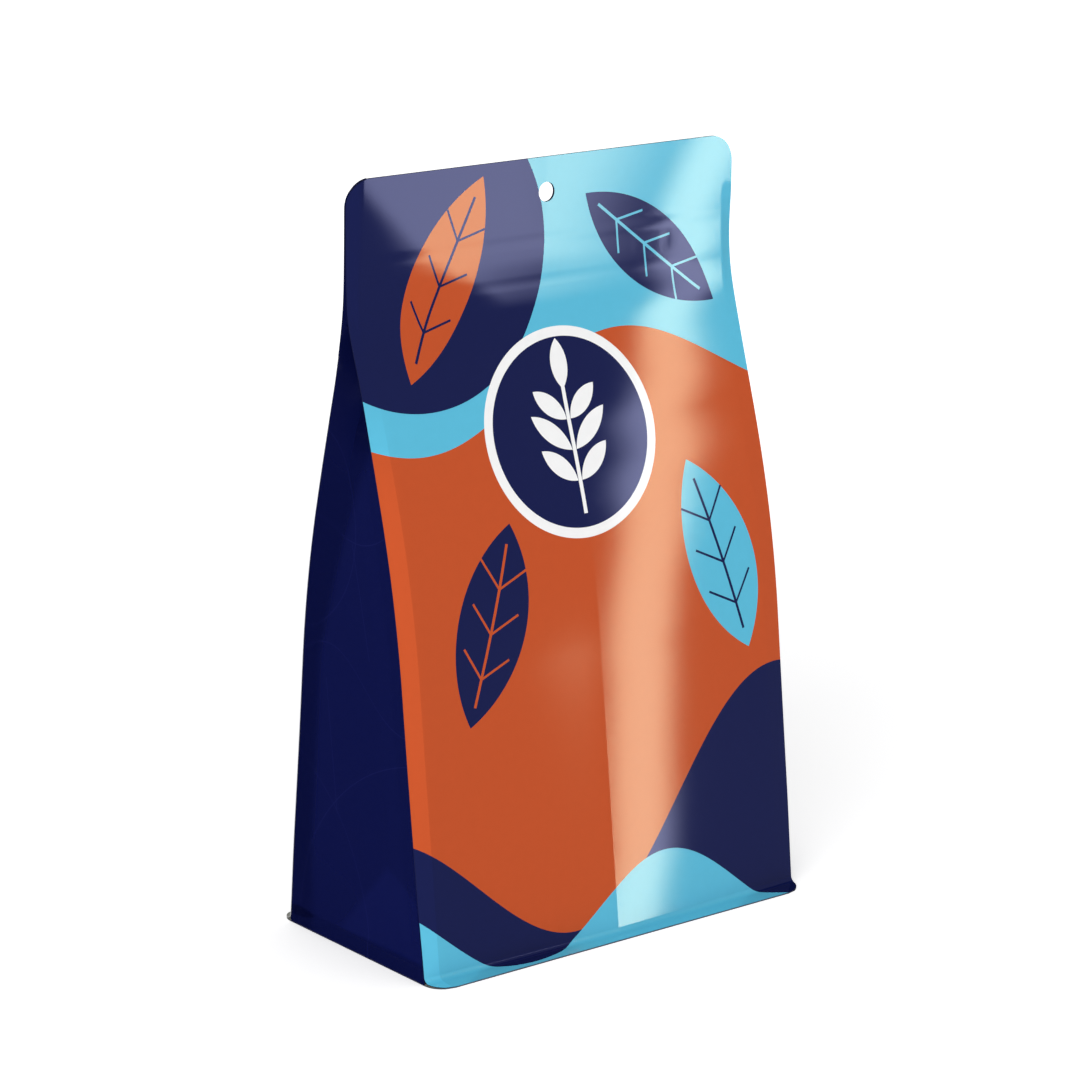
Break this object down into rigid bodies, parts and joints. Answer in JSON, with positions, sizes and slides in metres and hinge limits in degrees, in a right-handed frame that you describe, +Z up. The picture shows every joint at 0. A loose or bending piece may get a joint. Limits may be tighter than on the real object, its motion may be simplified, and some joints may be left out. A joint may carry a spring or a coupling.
{
  "type": "flat-bottom pouch",
  "caption": "Filled and shut flat-bottom pouch of printed film for dry food, with folded side gussets, a press-to-close zipper and a hang hole; stands on its base.",
  "frame": {"origin": "on the floor, under the middle of the base", "axes": "+Z up, the printed front faces -Y, +X runs to the right across the front"},
  "size_m": [0.14, 0.0806, 0.2284],
  "materials": {
    "film": "satin laminated film, printed in navy, orange and light blue"
  },
  "bodies": {
    "root": {"pouch": "film"}
  },
  "joints": []
}
